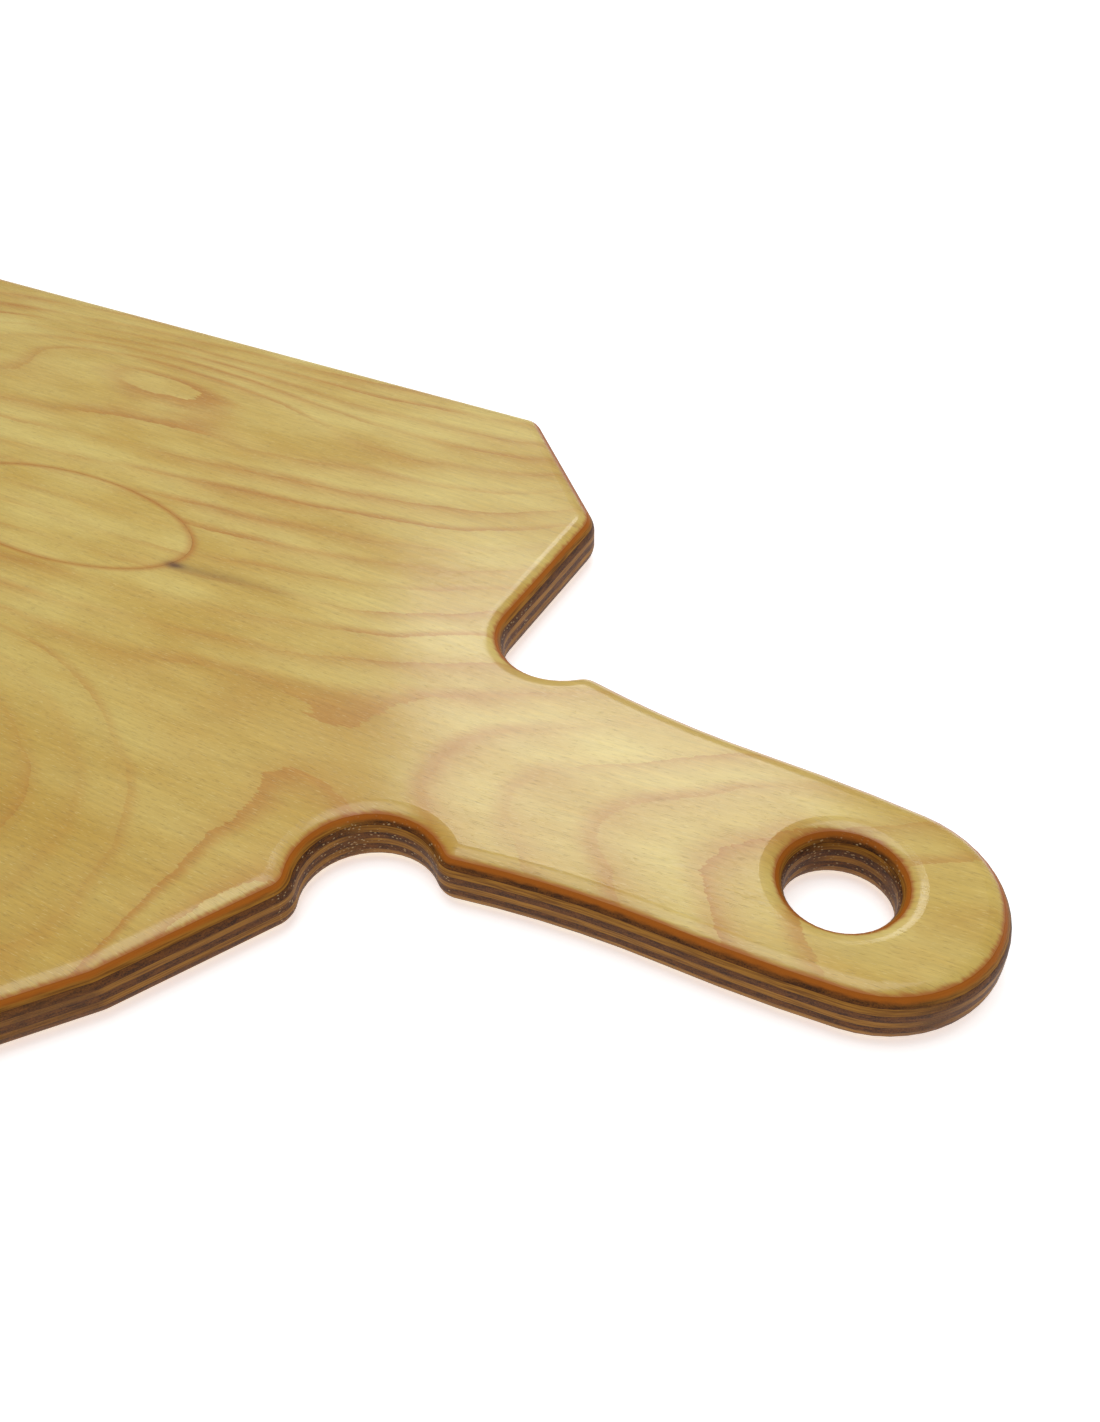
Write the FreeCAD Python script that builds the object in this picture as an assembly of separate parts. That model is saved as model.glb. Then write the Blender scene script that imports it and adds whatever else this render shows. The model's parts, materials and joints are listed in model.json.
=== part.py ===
import FreeCAD, Part
import math
import os

# A hand board cut from birch plywood: a wide body with clipped corners, a paddle handle with a hanging
# hole, and a finger notch on each side where the handle meets the body. All sizes are in millimetres.
# The object is a stack: nine veneers with a film of glue between each two, and an oval patch let into
# the top veneer. +X runs along the handle to its tip, +Z is up and the underside lies at Z = 0.

# Lay-up
board_thickness = 12.0
veneer_count = 9
face_veneer_thickness = 0.95
glue_film_thickness = 0.10
edge_round = 4.45

# Body
body_length = 280.0
body_width = 217.0
corner_clip = 32.9
body_corner_round = 4.8

# Handle. Distances along it are counted from the centre of the hanging hole.
hole_diameter = 19.0
hole_to_tip = 28.0
tip_radius = 22.4
swell_half_width = 23.8
swell_from_hole = 21.8
root_half_width = 28.1
root_from_hole = 61.8
root_corner_round = 4.6

# Finger notches
notch_radius = 12.2
neck_half_width = 23.5

# Left shoulder: square to the handle, then a clipped corner
left_shoulder_half_width = 75.6
left_shoulder_round = 9.4

# Right shoulder: a lip that leans out of the notch, then two facets that fall back to the body's side
lip_lean = 26.6
lip_run = 2.7
lip_round = 5.3
facet_1_length = 33.7
facet_1_sweep = 28.0
facet_2_sweep = 38.5
facet_corner_round = 8.4

# Oval patch in the top veneer
patch_length = 72.0
patch_width = 30.0
patch_from_hole = 192.5
patch_off_centre = 21.0
patch_joint = 0.05

# Worked out from the sizes above
glue_film_count = veneer_count - 1
inner_veneer_thickness = (
    board_thickness - 2 * face_veneer_thickness - glue_film_count * glue_film_thickness
) / (veneer_count - 2)
notch_y = neck_half_width + notch_radius
notch_x = -root_from_hole - math.sqrt(notch_radius**2 - (notch_y - root_half_width) ** 2)
shoulder_x = notch_x - notch_radius
rear_x = shoulder_x - body_length
half_width = body_width / 2
board_length = hole_to_tip - rear_x
hole_x = board_length / 2 - hole_to_tip


def point(x, y, z=0.0):
    """A point of the plan, counted from the hanging hole and moved to the board's own origin."""
    return FreeCAD.Vector(hole_x + x, y, z)


def line(a, b):
    return Part.LineSegment(point(*a), point(*b)).toShape()


def arc(centre, radius, start, end):
    """An arc from one angle to another, in degrees, turning the short way that the two angles say."""
    def on_circle(angle):
        turn = math.radians(angle)
        return point(centre[0] + radius * math.cos(turn), centre[1] + radius * math.sin(turn))

    return Part.Arc(on_circle(start), on_circle((start + end) / 2), on_circle(end)).toShape()


def handle_side(side):
    """One side of the handle from the tip's arc to the root corner: a long swell, then a long hollow."""
    tip_x = hole_to_tip - tip_radius
    along = tip_x + swell_from_hole
    rise = swell_half_width - tip_radius
    swell_radius = (along**2 + swell_half_width**2 - tip_radius**2) / (2 * rise)
    tip_angle = math.degrees(math.atan2(swell_radius - swell_half_width, along))
    swell_centre = (-swell_from_hole, side * (swell_half_width - swell_radius))
    swell = arc(swell_centre, swell_radius, side * tip_angle, side * 90)

    run = root_from_hole - swell_from_hole
    flare = root_half_width - swell_half_width
    hollow_radius = (run**2 + flare**2) / (2 * flare)
    hollow_turn = math.degrees(math.asin(run / hollow_radius))
    hollow_centre = (-swell_from_hole, side * (swell_half_width + hollow_radius))
    hollow = arc(hollow_centre, hollow_radius, -side * 90, -side * (90 + hollow_turn))
    return [swell, hollow], tip_angle


def notch(side, end_angle):
    """The finger notch, from the handle's root corner round to the shoulder."""
    root_angle = math.degrees(math.atan2(root_half_width - notch_y, -root_from_hole - notch_x))
    return arc((notch_x, side * notch_y), notch_radius, side * root_angle, side * end_angle)


def left_shoulder():
    """Left notch, square shoulder and clipped corner. Gives the edges and the corners to round."""
    start = (shoulder_x, notch_y)
    shoulder = (shoulder_x, left_shoulder_half_width)
    clip = half_width - left_shoulder_half_width
    side_start = (shoulder_x - clip, half_width)
    edges = [notch(1, -180), line(start, shoulder), line(shoulder, side_start)]
    return edges, shoulder, side_start


def right_shoulder():
    """Right notch, lip and two facets. Gives the edges and the corners to round."""
    lean = math.radians(lip_lean)
    leave = (notch_x - notch_radius * math.cos(lean), -notch_y - notch_radius * math.sin(lean))
    lip = (leave[0] + lip_run * math.sin(lean), leave[1] - lip_run * math.cos(lean))
    sweep_1 = math.radians(facet_1_sweep)
    facet = (lip[0] - facet_1_length * math.sin(sweep_1), lip[1] - facet_1_length * math.cos(sweep_1))
    drop = half_width + facet[1]
    side_start = (facet[0] - drop * math.tan(math.radians(facet_2_sweep)), -half_width)
    edges = [notch(-1, -180 - lip_lean), line(leave, lip), line(lip, facet), line(facet, side_start)]
    return edges, lip, facet, side_start


def outline_edges():
    """The whole outline before its corners are rounded, and the corners with their radii."""
    left_handle, tip_angle = handle_side(1)
    right_handle, tip_angle = handle_side(-1)
    tip = arc((hole_to_tip - tip_radius, 0), tip_radius, -tip_angle, tip_angle)
    left, left_corner, left_side = left_shoulder()
    right, lip, facet, right_side = right_shoulder()
    left_rear_side = (rear_x + corner_clip, half_width)
    left_rear = (rear_x, half_width - corner_clip)
    right_rear = (rear_x, corner_clip - half_width)
    right_rear_side = (rear_x + corner_clip, -half_width)
    rear = [left_side, left_rear_side, left_rear, right_rear, right_rear_side, right_side]
    rear_edges = [line(a, b) for a, b in zip(rear, rear[1:])]
    edges = [tip] + left_handle + right_handle + left + right + rear_edges

    corners = [(corner, body_corner_round) for corner in rear]
    corners += [((-root_from_hole, side * root_half_width), root_corner_round) for side in (1, -1)]
    corners += [(left_corner, left_shoulder_round), (lip, lip_round), (facet, facet_corner_round)]
    return edges, corners


def round_corner(solid, corner, radius):
    """Rounds the upright edge that stands at a corner of the outline."""
    foot = point(*corner)
    upright = [e for e in solid.Edges if e.BoundBox.ZLength > board_thickness / 2]
    edge = min(upright, key=lambda e: math.hypot(e.Vertexes[0].X - foot.x, e.Vertexes[0].Y - foot.y))
    return solid.makeFillet(radius, [edge])


def whole_board():
    """The board as it leaves the router: outline, hanging hole, and every rim rounded over."""
    edges, corners = outline_edges()
    wire = Part.Wire(Part.__sortEdges__(edges))
    board = Part.Face(wire).extrude(FreeCAD.Vector(0, 0, board_thickness))
    for corner, radius in corners:
        board = round_corner(board, corner, radius)
    drill = Part.makeCylinder(hole_diameter / 2, 3 * board_thickness, point(0, 0, -board_thickness))
    board = board.cut(drill)
    rims = [e for e in board.Edges if e.BoundBox.ZLength < 0.001]
    return board.makeFillet(edge_round, rims)


def slab(bottom, thickness):
    """A slab larger than the board, for taking one layer out of it."""
    corner = FreeCAD.Vector(-board_length, -body_width, bottom)
    return Part.makeBox(2 * board_length, 2 * body_width, thickness, corner)


def oval(length, width):
    """An upright oval column at the patch's place."""
    centre = point(-patch_from_hole, patch_off_centre, -board_thickness)
    ellipse = Part.Ellipse(centre, length / 2, width / 2).toShape()
    return Part.Face(Part.Wire([ellipse])).extrude(FreeCAD.Vector(0, 0, 3 * board_thickness))


def veneer_name(number):
    if number == 1:
        return "veneer_1_bottom_face"
    if number == veneer_count:
        return f"veneer_{number}_top_face"
    if number % 2:
        return f"veneer_{number}_long_grain"
    return f"veneer_{number}_cross_grain"


def pieces():
    """Every piece of the stack, by name, from the underside up."""
    board = whole_board()
    made = {}
    bottom = 0.0
    for number in range(1, veneer_count + 1):
        is_face = number in (1, veneer_count)
        thickness = face_veneer_thickness if is_face else inner_veneer_thickness
        made[veneer_name(number)] = board.common(slab(bottom, thickness))
        bottom += thickness
        if number < veneer_count:
            made[f"glue_film_{number}"] = board.common(slab(bottom, glue_film_thickness))
            bottom += glue_film_thickness

    top = made[veneer_name(veneer_count)]
    made["face_patch"] = top.common(oval(patch_length, patch_width))
    opening = oval(patch_length + 2 * patch_joint, patch_width + 2 * patch_joint)
    made[veneer_name(veneer_count)] = top.cut(opening)
    return made


os.makedirs("parts", exist_ok=True)
for name, shape in pieces().items():
    shape.exportStep(f"parts/{name}.step")
    print(name, "solids", len(shape.Solids), "valid", shape.isValid(), "volume", round(shape.Volume, 1))
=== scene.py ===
import json
import math

import bpy
from mathutils import Matrix, Vector


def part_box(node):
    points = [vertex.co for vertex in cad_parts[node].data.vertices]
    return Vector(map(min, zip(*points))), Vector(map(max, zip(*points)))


# A lacquered birch plywood hand board, shown on a pale floor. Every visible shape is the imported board's
# own node, so this script gives each layer its wood, sets the floor, the lights and the camera, and adds
# no piece. Lengths in the materials are millimetres, counted from the axis of the hanging hole and up
# from the underside.

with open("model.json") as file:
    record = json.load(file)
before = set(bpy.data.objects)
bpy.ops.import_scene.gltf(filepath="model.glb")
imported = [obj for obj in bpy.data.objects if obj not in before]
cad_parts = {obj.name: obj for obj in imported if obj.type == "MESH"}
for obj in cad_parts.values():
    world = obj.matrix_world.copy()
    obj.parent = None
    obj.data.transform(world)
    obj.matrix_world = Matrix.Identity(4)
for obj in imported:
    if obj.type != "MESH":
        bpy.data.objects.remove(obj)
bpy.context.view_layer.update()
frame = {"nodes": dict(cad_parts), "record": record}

MILLIMETRE = 0.001


# ---------------------------------------------------------------- places, all from the frame

def in_millimetres(length):
    return length / MILLIMETRE


mounts = {mount["name"]: mount for mount in frame["record"]["mounts"]}
openings = {opening["name"]: opening for opening in frame["record"]["physics"]["openings"]}
HOLE = Vector(mounts["hanging_hole"]["pos_m"])
HOLE_RADIUS = mounts["hanging_hole"]["dims"]["r_mm"]


def from_hole(point):
    """A point of the frame as (x, y) in millimetres from the hole's axis."""
    return (in_millimetres(point[0] - HOLE.x), in_millimetres(point[1] - HOLE.y))


def middle(low, high):
    return [(a + b) / 2 for a, b in zip(low, high)]


NOTCH_NAMES = ("left_finger_notch", "right_finger_notch")
NOTCHES = [from_hole(middle(*openings[name]["box_m"])) for name in NOTCH_NAMES]
NOTCH_RADIUS = 12.2

patch_low, patch_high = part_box("face_patch")
PATCH = from_hole(middle(patch_low, patch_high))
PATCH_LENGTH = in_millimetres(patch_high.x - patch_low.x)
PATCH_WIDTH = in_millimetres(patch_high.y - patch_low.y)
PATCH_END = (PATCH[0] + PATCH_LENGTH / 2, PATCH[1])

BOARD = in_millimetres(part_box("veneer_9_top_face")[1].z)


# ---------------------------------------------------------------- arithmetic in material nodes

def feed(tree, item, socket):
    """Sends a value of the nodes, or a plain number or colour, into a socket."""
    if isinstance(item, Value):
        tree.links.new(item.socket, socket)
    else:
        socket.default_value = item


class Value:
    """A value that varies over a surface. Arithmetic on it adds Math nodes to the material."""

    def __init__(self, tree, socket):
        self.tree = tree
        self.socket = socket

    def math(self, operation, *others):
        node = self.tree.nodes.new("ShaderNodeMath")
        node.operation = operation
        for place, item in enumerate((self, *others)):
            feed(self.tree, item, node.inputs[place])
        return Value(self.tree, node.outputs[0])

    def __add__(self, other):
        return self.math("ADD", other)

    def __sub__(self, other):
        return self.math("SUBTRACT", other)

    def __mul__(self, other):
        return self.math("MULTIPLY", other)

    def __truediv__(self, other):
        return self.math("DIVIDE", other)

    def __neg__(self):
        return self * -1.0

    __radd__ = __add__

    def __rsub__(self, other):
        return -self + other

    def __abs__(self):
        return self.math("ABSOLUTE")

    def least(self, other):
        return self.math("MINIMUM", other)

    def most(self, other):
        return self.math("MAXIMUM", other)

    def part(self):
        """What is left above the whole number."""
        return self.math("FRACT")

    def whole(self):
        return self.math("FLOOR")

    def exp(self):
        return self.math("EXPONENT")

    def ramp(self, low, high):
        """0 at low, 1 at high, smooth between. High may be the smaller of the two."""
        if low > high:
            return 1.0 - self.ramp(high, low)
        node = self.tree.nodes.new("ShaderNodeMapRange")
        node.interpolation_type = "SMOOTHSTEP"
        feed(self.tree, self, node.inputs["Value"])
        node.inputs["From Min"].default_value = low
        node.inputs["From Max"].default_value = high
        return Value(self.tree, node.outputs["Result"])


def distance(x, y):
    return (x * x + y * y).math("SQRT")


def hill(x, y, height, at, spread):
    """A smooth rise of that height at a point, with its spread along and across the board."""
    along = (x - at[0]) / spread[0]
    across = (y - at[1]) / spread[1]
    return (-(along * along + across * across)).exp() * height


def vector(x, y, z):
    tree = x.tree
    node = tree.nodes.new("ShaderNodeCombineXYZ")
    for place, item in enumerate((x, y, z)):
        feed(tree, item, node.inputs[place])
    return Value(tree, node.outputs[0])


def noise(x, y, z, detail=2.0, roughness=0.5):
    """Cloudy variation about 0.5, one unit of each coordinate to a cloud."""
    tree = x.tree
    node = tree.nodes.new("ShaderNodeTexNoise")
    feed(tree, vector(x, y, z), node.inputs["Vector"])
    node.inputs["Scale"].default_value = 1.0
    node.inputs["Detail"].default_value = detail
    node.inputs["Roughness"].default_value = roughness
    return Value(tree, node.outputs["Fac"])


def cells(x, y, z):
    """Distance from the nearest of the points scattered one to a unit."""
    tree = x.tree
    node = tree.nodes.new("ShaderNodeTexVoronoi")
    feed(tree, vector(x, y, z), node.inputs["Vector"])
    node.inputs["Scale"].default_value = 1.0
    node.inputs["Randomness"].default_value = 1.0
    return Value(tree, node.outputs["Distance"])


def mix(first, second, amount):
    """A colour between two, by an amount from 0 to 1."""
    tree = amount.tree
    node = tree.nodes.new("ShaderNodeMix")
    node.data_type = "RGBA"
    feed(tree, amount, node.inputs["Factor"])
    feed(tree, first, node.inputs["A"])
    feed(tree, second, node.inputs["B"])
    return Value(tree, node.outputs["Result"])


def tone(colour, amount):
    """A colour made darker or brighter by a factor that varies over the surface."""
    tree = amount.tree
    node = tree.nodes.new("ShaderNodeVectorMath")
    node.operation = "SCALE"
    feed(tree, colour, node.inputs[0])
    feed(tree, amount, node.inputs["Scale"])
    return Value(tree, node.outputs[0])


def colour(red, green, blue):
    """An eight-bit screen colour as the linear colour that the shader takes."""
    def linear(level):
        level /= 255
        return level / 12.92 if level <= 0.04045 else ((level + 0.055) / 1.055) ** 2.4

    return (linear(red), linear(green), linear(blue), 1.0)


# ---------------------------------------------------------------- the wood

PALE = colour(218, 195, 108)
GOLD = colour(198, 163, 66)
RING = colour(180, 112, 18)
# Painted shade: the darker, more saturated gold that the face is given towards the near left of the body,
# where the light falls off.
PAINTED_SHADE_GOLD = colour(182, 140, 40)
PORE = colour(120, 84, 34)
FLECK = colour(238, 220, 150)
FEATHER = colour(170, 92, 12)
KNOT = colour(96, 56, 18)
SIDE_GRAIN = colour(160, 108, 34)
SIDE_GRAIN_DARK = colour(112, 68, 14)
END_GRAIN = colour(112, 64, 16)
END_GRAIN_DARK = colour(58, 30, 6)
SPECK = colour(214, 180, 130)
GLUE = colour(60, 30, 6)
GLUE_PALE = colour(92, 50, 12)


WOOD_IOR = 1.45
LACQUER_IOR = 1.5
LACQUER_ROUGHNESS = 0.16


def new_material(name):
    material = bpy.data.materials.new(name)
    material.use_nodes = True
    material.node_tree.nodes.clear()
    return material


def board_place(tree):
    """x and y in millimetres from the hole's axis, and z up from the underside."""
    coordinates = tree.nodes.new("ShaderNodeTexCoord")
    split = tree.nodes.new("ShaderNodeSeparateXYZ")
    tree.links.new(coordinates.outputs["Object"], split.inputs[0])
    x, y, z = (Value(tree, output) / MILLIMETRE for output in split.outputs)
    return x - in_millimetres(HOLE.x), y - in_millimetres(HOLE.y), z


def facing(tree):
    """How squarely the surface faces along X, Y and Z, each from 0 to 1."""
    geometry = tree.nodes.new("ShaderNodeNewGeometry")
    split = tree.nodes.new("ShaderNodeSeparateXYZ")
    tree.links.new(geometry.outputs["Normal"], split.inputs[0])
    return [abs(Value(tree, output)) for output in split.outputs]


def bump(height, depth):
    """A bumped normal from a height that varies from 0 to 1, with its depth in millimetres."""
    node = height.tree.nodes.new("ShaderNodeBump")
    node.inputs["Strength"].default_value = 1.0
    node.inputs["Distance"].default_value = depth * MILLIMETRE
    feed(height.tree, height, node.inputs["Height"])
    return Value(height.tree, node.outputs["Normal"])


def lacquered(
    tree, base, roughness, grain_height, grain_depth, coat_height, coat_depth, coat=0.6, gloss=0.5
):
    """Wood under clear lacquer: the grain's bump is in the wood, and the lacquer has its own softer one."""
    shader = tree.nodes.new("ShaderNodeBsdfPrincipled")
    feed(tree, base, shader.inputs["Base Color"])
    feed(tree, roughness, shader.inputs["Roughness"])
    feed(tree, bump(grain_height, grain_depth), shader.inputs["Normal"])
    feed(tree, bump(coat_height, coat_depth), shader.inputs["Coat Normal"])
    shader.inputs["IOR"].default_value = WOOD_IOR
    shader.inputs["Specular IOR Level"].default_value = gloss
    shader.inputs["Coat Weight"].default_value = coat
    shader.inputs["Coat Roughness"].default_value = LACQUER_ROUGHNESS
    shader.inputs["Coat IOR"].default_value = LACQUER_IOR
    output = tree.nodes.new("ShaderNodeOutputMaterial")
    tree.links.new(shader.outputs[0], output.inputs["Surface"])


def rise(value, reach):
    """The value where it is above zero and nothing below, with a soft bend as wide as the reach."""
    return value.math("SMOOTH_MAX", 0.0, reach)


HANDLE_LINE_SPACING = 18.0
BODY_LINE_SPACING = 9.0
ARCH_MIDDLE = -6.0
ARCH_WIDTH = 16.0
ARCH_DEPTH = 30.0
FIRST_ARCH = -92.0


def growth(x, y):
    """Growth lines of the face as a height map: each whole number is one line of the figure."""
    across = (y - ARCH_MIDDLE) / ARCH_WIDTH
    arch = (across * across + 1.0).math("SQRT") * ARCH_DEPTH - ARCH_DEPTH
    handle = (x - arch - FIRST_ARCH) / HANDLE_LINE_SPACING
    fall = ((x + 87.0) / 20.0).least(1.5).exp() * 15.0 + x * 0.12 + 8.0
    body = rise(y - fall, 10.0) / -BODY_LINE_SPACING
    ring = 1.15 - distance((x + 184.0) / 66.0, (y + 58.0) / 42.0)
    knot = rise(ring * 6.3, 0.6)
    far = hill(x, y, 3.0, (-221.0, 82.0), (58.0, 14.0))
    share = x.ramp(-70.0, -110.0)
    return handle * (1.0 - share) + body * share + knot + far


def patch_growth(x, y):
    """The patch has faint, nearly straight lines of its own."""
    return (y - x * 0.04) / 6.5


def face_fibre(x, y):
    """The fibres run along the board and turn a little to the left on the handle."""
    return y - rise(x + 70.0, 20.0) * 0.1


def feather_stain(depth):
    """The orange band that the glue left in the wood on either side of its first film."""
    return depth.ramp(0.4, 0.95) * depth.ramp(2.0, 1.3)


def depth_below_face(z):
    return BOARD / 2 - abs(z - BOARD / 2)


DARK_PLACE_DROP = 3.8
STREAK_LENGTH = 38.0


def face_wood(name, seed, figured, line_strength):
    """Rotary-cut birch: growth lines, fibres, pores, the stained edge, the dark place by the patch, and
    painted shade towards the near left of the body.
    """
    material = new_material(name)
    tree = material.node_tree
    x, y, z = board_place(tree)
    z_seed = z * 0.0 + seed
    over = face_fibre(x, y)

    cloud = noise(x / 52.0, y / 16.0, z_seed, detail=3.0)
    ragged = noise(x / 8.0, over / 0.8, z_seed, detail=3.0, roughness=0.6)
    wander = noise(x / 30.0, y / 11.0, z_seed + 3.0)
    level = figured(x, y) + (wander - 0.5) * 0.45 - y * 0.012 + (ragged - 0.5) * 0.16
    within = level.part()
    line = (-within / 0.34).exp() + within.ramp(0.66, 1.0)
    strength = noise(level.whole() * 3.7, x / 60.0, z_seed + 7.0).ramp(0.38, 0.7)
    line = line.least(1.0) * (0.12 + strength * 0.62) * line_strength

    fibre = noise(x / 5.5, over / 0.3, z_seed + 11.0, detail=2.0, roughness=0.6)
    pores = noise(x / 2.2, over / 0.17, z_seed + 17.0, detail=1.0).ramp(0.6, 0.74)
    flecks = noise(x / 1.8, over / 0.2, z_seed + 23.0, detail=1.0).ramp(0.6, 0.76)

    wood = mix(PALE, GOLD, cloud.ramp(0.3, 0.7))
    # Painted shade: the face is made darker and more saturated towards the near left of the body, as if the
    # light fell off there.
    wood = mix(wood, PAINTED_SHADE_GOLD, hill(x, y, 0.75, (-170.0, -75.0), (80.0, 50.0)))
    wood = mix(wood, RING, line)
    strands = noise(x / 14.0, over / 0.8, z_seed + 29.0, detail=2.0, roughness=0.6)
    wood = tone(wood, 0.72 + fibre * 0.2 + strands * 0.36)
    wood = mix(wood, PORE, pores * 0.3)
    wood = mix(wood, FLECK, flecks * 0.3)

    beside = x - PATCH[0]
    above = y - PATCH[1]
    rim = (distance(beside * 2.0 / PATCH_LENGTH, above * 2.0 / PATCH_WIDTH) - 1.0) * PATCH_WIDTH / 2.0
    joint = (-(rim * rim) / 0.35).exp()
    wood = mix(wood, RING, joint * (0.2 + cloud * 0.9).least(1.0))
    past = x - PATCH_END[0]
    sunk = above + DARK_PLACE_DROP - rise(past, 4.0) * 0.12
    spot = (-(past * past / 5.0 + sunk * sunk / 1.2)).exp()
    streak = (-(sunk * sunk) / 2.4).exp() * past.ramp(-3.0, 3.0) * past.ramp(STREAK_LENGTH, 4.0)
    wood = mix(wood, KNOT, (spot * 0.75 + streak * 0.35 * (0.6 + fibre * 0.8)).least(1.0))

    depth = depth_below_face(z) + (ragged - 0.5) * 0.8
    wood = mix(wood, FEATHER, feather_stain(depth) * 0.9)

    grain = fibre * 0.6 - pores * 0.8
    peel = noise(x / 3.0, y / 1.6, z / 3.0, detail=1.0)
    roughness = 0.38 + fibre * 0.16
    lacquered(tree, wood, roughness, grain, 0.03, peel + grain * 0.25, 0.02)
    return material


def inner_wood(name, seed, along_x):
    """An inner veneer's edge: streaked side grain along its fibres, pored end grain across them."""
    material = new_material(name)
    tree = material.node_tree
    x, y, z = board_place(tree)
    across = facing(tree)[0 if along_x else 1]
    run = x if along_x else y

    streak = noise(run / 6.0, z / 0.22, seed + (x + y) * 0.01, detail=2.0)
    side = mix(SIDE_GRAIN, SIDE_GRAIN_DARK, streak.ramp(0.35, 0.7))
    grit = noise(x / 0.3, y / 0.3, z / 0.16, detail=2.0, roughness=0.6)
    patchy = noise(x / 3.0, y / 3.0, z / 0.5, detail=2.0)
    end = mix(END_GRAIN, END_GRAIN_DARK, (grit * 0.6 + patchy * 0.5).ramp(0.4, 0.7))
    wood = mix(side, end, across.ramp(0.35, 0.85))

    bored = distance(x, y).ramp(HOLE_RADIUS + 3.0, HOLE_RADIUS + 1.5)
    for at in NOTCHES:
        bored = bored.most(distance(x - at[0], y - at[1]).ramp(NOTCH_RADIUS + 3.5, NOTCH_RADIUS + 2.0))
    specks = cells(x / 0.9, y / 0.9, z / 0.55).ramp(0.3, 0.16)
    torn = across.ramp(0.25, 0.6) * bored
    wood = mix(wood, SPECK, specks * torn * 0.55)
    wood = mix(wood, FEATHER, feather_stain(depth_below_face(z) + (patchy - 0.5) * 0.5) * 0.85)

    height = grit * 0.6 + streak * 0.4 + specks * torn
    roughness = 0.5 + grit * 0.2
    lacquered(tree, wood, roughness, height, 0.06, height, 0.03, coat=0.05, gloss=0.2)
    return material


def glue():
    material = new_material("glue")
    tree = material.node_tree
    x, y, z = board_place(tree)
    cloud = noise(x / 1.2, y / 1.2, z, detail=3.0)
    base = mix(GLUE, GLUE_PALE, cloud.ramp(0.35, 0.7))
    base = mix(base, FEATHER, feather_stain(depth_below_face(z)) * 0.8)
    lacquered(tree, base, 0.45 + cloud * 0.2, cloud, 0.03, cloud, 0.02, coat=0.05, gloss=0.2)
    return material


materials = {
    "veneer_9_top_face": face_wood("birch_top_face", 1.0, growth, 1.0),
    "veneer_1_bottom_face": face_wood("birch_bottom_face", 41.0, growth, 1.0),
    "face_patch": face_wood("birch_patch", 81.0, patch_growth, 0.5),
}
long_wood = inner_wood("birch_long_veneer", 5.0, along_x=True)
cross_wood = inner_wood("birch_cross_veneer", 9.0, along_x=False)
glue_line = glue()
for name, node in frame["nodes"].items():
    if name.startswith("glue_film"):
        materials[name] = glue_line
    elif name.endswith("long_grain"):
        materials[name] = long_wood
    elif name.endswith("cross_grain"):
        materials[name] = cross_wood
    for slot in node.material_slots:
        slot.material = materials[name]


# ---------------------------------------------------------------- floor, lights and camera

FLOOR_DROP = 0.05
FLOOR_REACH = 3.0
FLOOR_GLOW = 0.55


def add_floor():
    drop = FLOOR_DROP * MILLIMETRE
    reach = FLOOR_REACH
    plan = [(-reach, -reach), (reach, -reach), (reach, reach), (-reach, reach)]
    corners = [(x, y, -drop) for x, y in plan]
    mesh = bpy.data.meshes.new("floor")
    mesh.from_pydata(corners, [], [(0, 1, 2, 3)])
    floor = bpy.data.objects.new("floor", mesh)
    bpy.context.scene.collection.objects.link(floor)
    material = new_material("floor")
    tree = material.node_tree
    shader = tree.nodes.new("ShaderNodeBsdfPrincipled")
    shader.inputs["Base Color"].default_value = (0.9, 0.9, 0.9, 1.0)
    shader.inputs["Roughness"].default_value = 0.9
    shader.inputs["Specular IOR Level"].default_value = 0.1
    shader.inputs["Emission Color"].default_value = (1.0, 1.0, 1.0, 1.0)
    shader.inputs["Emission Strength"].default_value = FLOOR_GLOW
    output = tree.nodes.new("ShaderNodeOutputMaterial")
    tree.links.new(shader.outputs[0], output.inputs["Surface"])
    mesh.materials.append(material)


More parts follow.
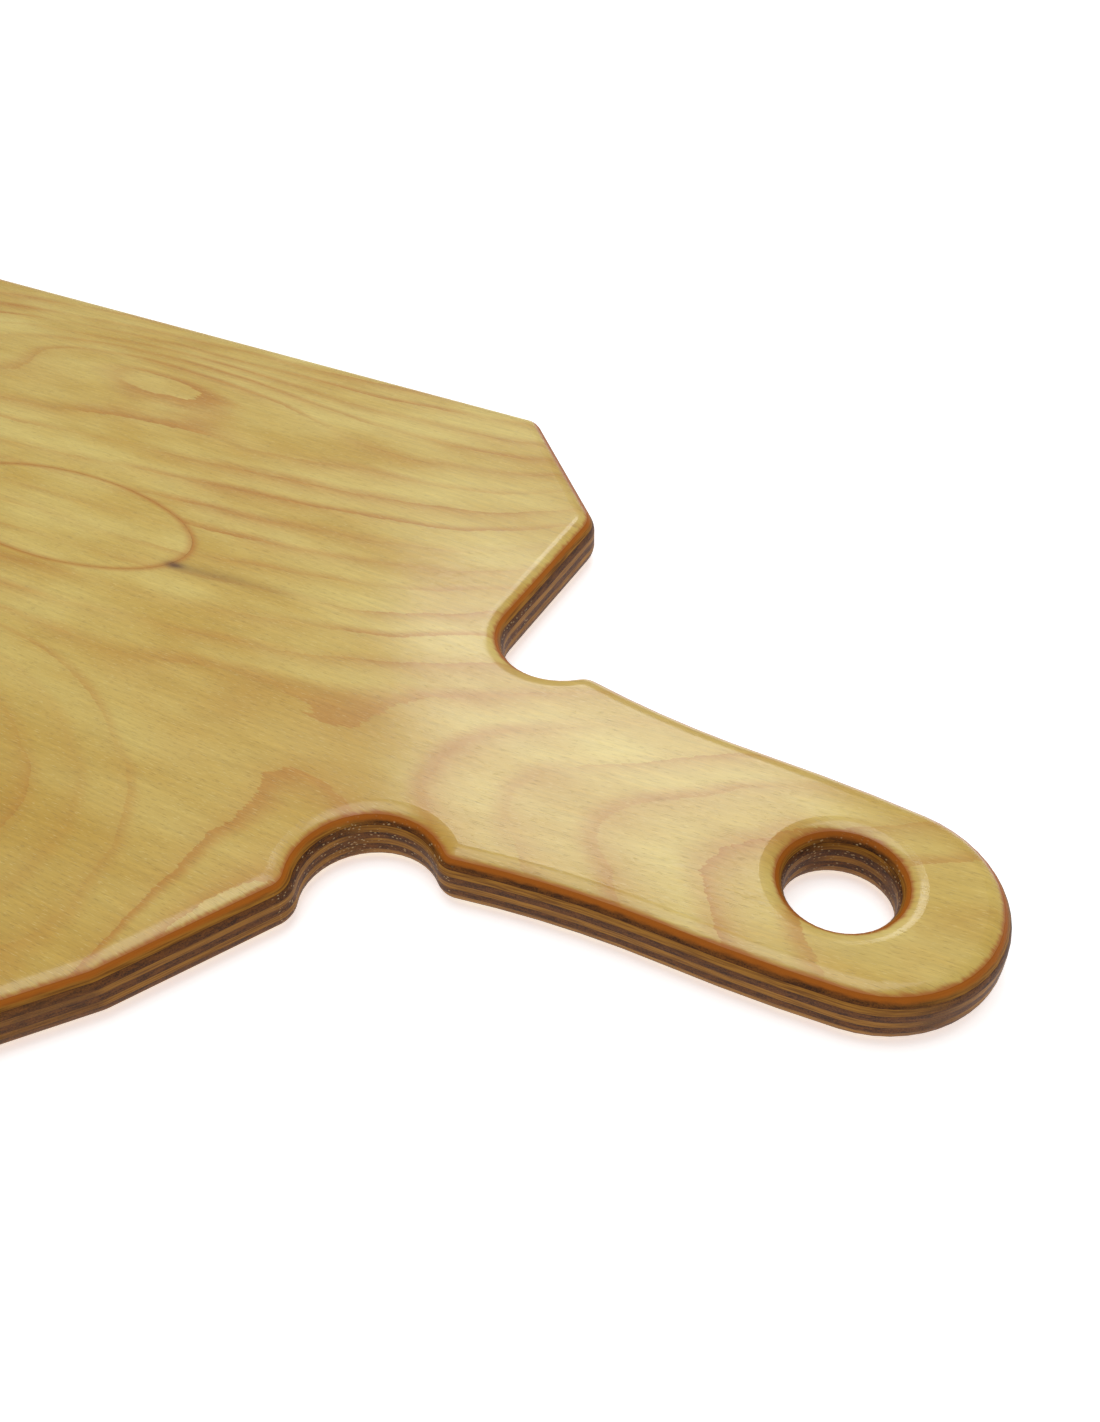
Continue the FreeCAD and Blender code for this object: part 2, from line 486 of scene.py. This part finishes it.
def add_light(name, towards, away, size, power):
    """A soft square light, that far from the handle in the given direction, turned to face it."""
    light = bpy.data.lights.new(name, "AREA")
    light.shape = "RECTANGLE"
    light.size = size[0]
    light.size_y = size[1]
    light.energy = power
    lamp = bpy.data.objects.new(name, light)
    bpy.context.scene.collection.objects.link(lamp)
    direction = Vector(towards).normalized()
    aim = Vector((HOLE.x, 0.0, 0.0))
    turn = direction.to_track_quat("Z", "Y").to_matrix().to_4x4()
    lamp.matrix_world = Matrix.Translation(aim + direction * away) @ turn


def add_world(strength):
    world = bpy.data.worlds.new("studio")
    world.use_nodes = True
    background = world.node_tree.nodes["Background"]
    background.inputs["Color"].default_value = (1.0, 1.0, 1.0, 1.0)
    background.inputs["Strength"].default_value = strength
    bpy.context.scene.world = world


# The camera looks down along the board from beyond the handle's right side. Its aim is a point of the
# underside's plane, counted from the hole's axis.
VIEW_AZIMUTH = math.radians(-28.84)
VIEW_ELEVATION = math.radians(42.28)
VIEW_ROLL = math.radians(-0.90)
VIEW_AIM = Vector((-68.84, 25.13, 0.0)) * MILLIMETRE
VIEW_DISTANCE = 272.3 * MILLIMETRE
SENSOR = 36.0
LENS = 34.15


def add_camera():
    camera = bpy.data.cameras.new("camera")
    camera.sensor_width = SENSOR
    camera.lens = LENS
    camera.clip_start = 0.01
    mount = bpy.data.objects.new("camera", camera)
    bpy.context.scene.collection.objects.link(mount)
    level = math.cos(VIEW_ELEVATION)
    level_x = math.sin(VIEW_AZIMUTH) * level
    level_y = math.cos(VIEW_AZIMUTH) * level
    looking = Vector((level_x, level_y, -math.sin(VIEW_ELEVATION)))
    right = looking.cross(Vector((0, 0, 1))).normalized()
    up = right.cross(looking)
    right_rolled = right * math.cos(VIEW_ROLL) + up * math.sin(VIEW_ROLL)
    up_rolled = up * math.cos(VIEW_ROLL) - right * math.sin(VIEW_ROLL)
    turn = Matrix((right_rolled, up_rolled, -looking)).transposed().to_4x4()
    aim = Vector((HOLE.x, HOLE.y, 0.0)) + VIEW_AIM
    mount.matrix_world = Matrix.Translation(aim - looking * VIEW_DISTANCE) @ turn
    bpy.context.scene.camera = mount


add_floor()
add_world(0.35)
add_light("gloss", (-0.35, 0.68, 0.7), 1.2, (0.45, 0.35), 2.6)
add_light("overhead", (-0.1, 0.0, 1.0), 1.2, (0.9, 0.9), 7.5)
add_camera()
bpy.context.scene.view_settings.view_transform = "Standard"
